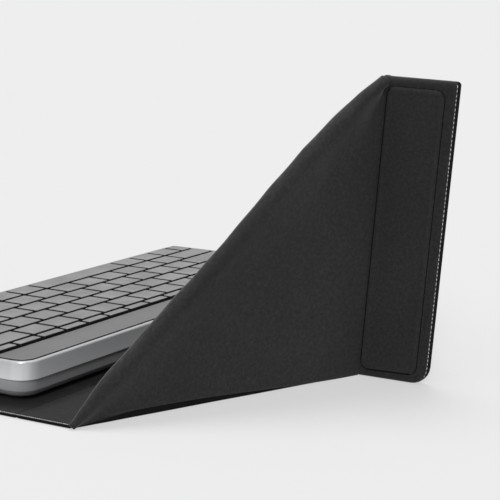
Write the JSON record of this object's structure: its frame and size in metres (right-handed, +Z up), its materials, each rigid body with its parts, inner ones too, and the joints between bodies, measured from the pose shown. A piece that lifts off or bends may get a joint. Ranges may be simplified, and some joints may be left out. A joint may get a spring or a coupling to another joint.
{
  "type": "tablet keyboard case",
  "caption": "Folding tablet case with a built-in keyboard; its lid folds into a wedge stand with two side wings and a magnet strip behind the tablet.",
  "frame": {"origin": "centre of the part's bounding box on the table", "axes": "+X to the typist's right along the keyboard, +Y from the typist to the stand, +Z up"},
  "size_m": [0.3, 0.2666, 0.1446],
  "materials": {
    "fabric": "matt woven, fine grain",
    "stiffener": "fibre board",
    "magnet": "plated bar",
    "foam": "thin foam pad",
    "rubber": "matt pad",
    "frame": "satin grey",
    "shell": "satin grey",
    "deck": "fine matt grey",
    "keycap": "fine matt grey",
    "black_plastic": "matt black",
    "circuit_board": "solder mask",
    "battery": "foil pouch",
    "steel": "bright"
  },
  "bodies": {
    "base": {"base_skin": "fabric", "base_board": "stiffener", "base_lining": "fabric", "mount_pad_1": "rubber", "mount_pad_2": "rubber", "mount_pad_3": "rubber", "mount_pad_4": "rubber", "lower_shell": "shell", "upper_frame": "frame", "key_deck": "deck", "switch_plate": "black_plastic", "circuit_board": "circuit_board", "battery": "battery", "usb_port": "steel"},
    "shelf": {"shelf_skin": "fabric", "shelf_board": "stiffener", "shelf_lining": "fabric"},
    "backrest": {"backrest_skin": "fabric", "backrest_board": "stiffener", "backrest_lining": "fabric"},
    "wing_right": {"wing_right_skin": "fabric", "wing_right_board": "stiffener", "wing_right_lining": "fabric"},
    "strip_right": {"strip_right_skin": "fabric", "strip_right_board": "stiffener", "strip_right_lining": "fabric", "strip_magnet_right": "magnet", "strip_pad_right": "foam"},
    "wing_left": {"wing_left_skin": "fabric", "wing_left_board": "stiffener", "wing_left_lining": "fabric"},
    "strip_left": {"strip_left_skin": "fabric", "strip_left_board": "stiffener", "strip_left_lining": "fabric", "strip_magnet_left": "magnet", "strip_pad_left": "foam"},
    "power_switch": {"power_switch": "black_plastic"},
    "key_power": {"key_power": "keycap"},
    "keys_function": {"keys_function": "keycap"},
    "key_escape": {"key_escape": "keycap"},
    "key_backspace": {"key_backspace": "keycap"},
    "keys_number": {"keys_number": "keycap"},
    "key_backslash": {"key_backslash": "keycap"},
    "keys_upper": {"keys_upper": "keycap"},
    "key_tab": {"key_tab": "keycap"},
    "key_enter": {"key_enter": "keycap"},
    "keys_home": {"keys_home": "keycap"},
    "key_caps_lock": {"key_caps_lock": "keycap"},
    "key_shift_right": {"key_shift_right": "keycap"},
    "keys_lower": {"keys_lower": "keycap"},
    "key_shift_left": {"key_shift_left": "keycap"},
    "key_arrow_right": {"key_arrow_right": "keycap"},
    "key_arrow_up_down": {"key_arrow_up_down": "keycap"},
    "key_arrow_left": {"key_arrow_left": "keycap"},
    "keys_modifier_right": {"keys_modifier_right": "keycap"},
    "key_space": {"key_space": "keycap"},
    "keys_modifier_left": {"keys_modifier_left": "keycap"}
  },
  "joints": [
    {"name": "spine_fold", "type": "hinge", "parent": "base", "child": "shelf", "pos_m": [0, -0.00925, 0.0012], "axis": [1, 0, 0], "range_deg": [0, 90]},
    {"name": "backrest_fold", "type": "hinge", "parent": "shelf", "child": "backrest", "pos_m": [0, 0.02135, 0.0012], "axis": [1, 0, 0], "range_deg": [-62.76, 27.19]},
    {"name": "wing_right_fold", "type": "hinge", "parent": "backrest", "child": "wing_right", "pos_m": [0.15, 0.02135, 0.0012], "axis": [0.6723, -0.3388, -0.6582], "range_deg": [0, 148.24]},
    {"name": "strip_right_fold", "type": "hinge", "parent": "wing_right", "child": "strip_right", "pos_m": [0.0014, 0.08375, 0.0002], "axis": [0, 0.085, 0.9964], "range_deg": [0, 67.15]},
    {"name": "wing_left_fold", "type": "hinge", "parent": "backrest", "child": "wing_left", "pos_m": [-0.15, 0.02135, 0.0012], "axis": [0.6723, 0.3388, 0.6582], "range_deg": [0, 148.24]},
    {"name": "strip_left_fold", "type": "hinge", "parent": "wing_left", "child": "strip_left", "pos_m": [-0.0014, 0.08375, 0.0002], "axis": [0, -0.085, -0.9964], "range_deg": [0, 67.15]},
    {"name": "power_slide", "type": "slide", "parent": "base", "child": "power_switch", "axis": [0, 1, 0], "range_m": [0, 0.0045]},
    {"name": "key_power_press", "type": "slide", "parent": "base", "child": "key_power", "axis": [0, 0, -1], "range_m": [0, 0.0015], "stiffness_N_per_m": 200, "springref_m": -0.0004},
    {"name": "keys_function_press", "type": "slide", "parent": "base", "child": "keys_function", "axis": [0, 0, -1], "range_m": [0, 0.0015], "stiffness_N_per_m": 2600, "springref_m": -0.0004},
    {"name": "key_escape_press", "type": "slide", "parent": "base", "child": "key_escape", "axis": [0, 0, -1], "range_m": [0, 0.0015], "stiffness_N_per_m": 200, "springref_m": -0.0004},
    {"name": "key_backspace_press", "type": "slide", "parent": "base", "child": "key_backspace", "axis": [0, 0, -1], "range_m": [0, 0.0015], "stiffness_N_per_m": 200, "springref_m": -0.0004},
    {"name": "keys_number_press", "type": "slide", "parent": "base", "child": "keys_number", "axis": [0, 0, -1], "range_m": [0, 0.0015], "stiffness_N_per_m": 2400, "springref_m": -0.0004},
    {"name": "key_backslash_press", "type": "slide", "parent": "base", "child": "key_backslash", "axis": [0, 0, -1], "range_m": [0, 0.0015], "stiffness_N_per_m": 200, "springref_m": -0.0004},
    {"name": "keys_upper_press", "type": "slide", "parent": "base", "child": "keys_upper", "axis": [0, 0, -1], "range_m": [0, 0.0015], "stiffness_N_per_m": 2200, "springref_m": -0.0004},
    {"name": "key_tab_press", "type": "slide", "parent": "base", "child": "key_tab", "axis": [0, 0, -1], "range_m": [0, 0.0015], "stiffness_N_per_m": 200, "springref_m": -0.0004},
    {"name": "key_enter_press", "type": "slide", "parent": "base", "child": "key_enter", "axis": [0, 0, -1], "range_m": [0, 0.0015], "stiffness_N_per_m": 200, "springref_m": -0.0004},
    {"name": "keys_home_press", "type": "slide", "parent": "base", "child": "keys_home", "axis": [0, 0, -1], "range_m": [0, 0.0015], "stiffness_N_per_m": 2000, "springref_m": -0.0004},
    {"name": "key_caps_lock_press", "type": "slide", "parent": "base", "child": "key_caps_lock", "axis": [0, 0, -1], "range_m": [0, 0.0015], "stiffness_N_per_m": 200, "springref_m": -0.0004},
    {"name": "key_shift_right_press", "type": "slide", "parent": "base", "child": "key_shift_right", "axis": [0, 0, -1], "range_m": [0, 0.0015], "stiffness_N_per_m": 200, "springref_m": -0.0004},
    {"name": "keys_lower_press", "type": "slide", "parent": "base", "child": "keys_lower", "axis": [0, 0, -1], "range_m": [0, 0.0015], "stiffness_N_per_m": 2000, "springref_m": -0.0004},
    {"name": "key_shift_left_press", "type": "slide", "parent": "base", "child": "key_shift_left", "axis": [0, 0, -1], "range_m": [0, 0.0015], "stiffness_N_per_m": 200, "springref_m": -0.0004},
    {"name": "key_arrow_right_press", "type": "slide", "parent": "base", "child": "key_arrow_right", "axis": [0, 0, -1], "range_m": [0, 0.0015], "stiffness_N_per_m": 200, "springref_m": -0.0004},
    {"name": "key_arrow_up_down_press", "type": "slide", "parent": "base", "child": "key_arrow_up_down", "axis": [0, 0, -1], "range_m": [0, 0.0015], "stiffness_N_per_m": 200, "springref_m": -0.0004},
    {"name": "key_arrow_left_press", "type": "slide", "parent": "base", "child": "key_arrow_left", "axis": [0, 0, -1], "range_m": [0, 0.0015], "stiffness_N_per_m": 200, "springref_m": -0.0004},
    {"name": "keys_modifier_right_press", "type": "slide", "parent": "base", "child": "keys_modifier_right", "axis": [0, 0, -1], "range_m": [0, 0.0015], "stiffness_N_per_m": 600, "springref_m": -0.0004},
    {"name": "key_space_press", "type": "slide", "parent": "base", "child": "key_space", "axis": [0, 0, -1], "range_m": [0, 0.0015], "stiffness_N_per_m": 200, "springref_m": -0.0004},
    {"name": "keys_modifier_left_press", "type": "slide", "parent": "base", "child": "keys_modifier_left", "axis": [0, 0, -1], "range_m": [0, 0.0015], "stiffness_N_per_m": 800, "springref_m": -0.0004}
  ],
  "couplings": [
    {"joint": "strip_right_fold", "follows": "wing_right_fold", "ratio": 0.45287},
    {"joint": "strip_left_fold", "follows": "wing_left_fold", "ratio": 0.45287}
  ]
}
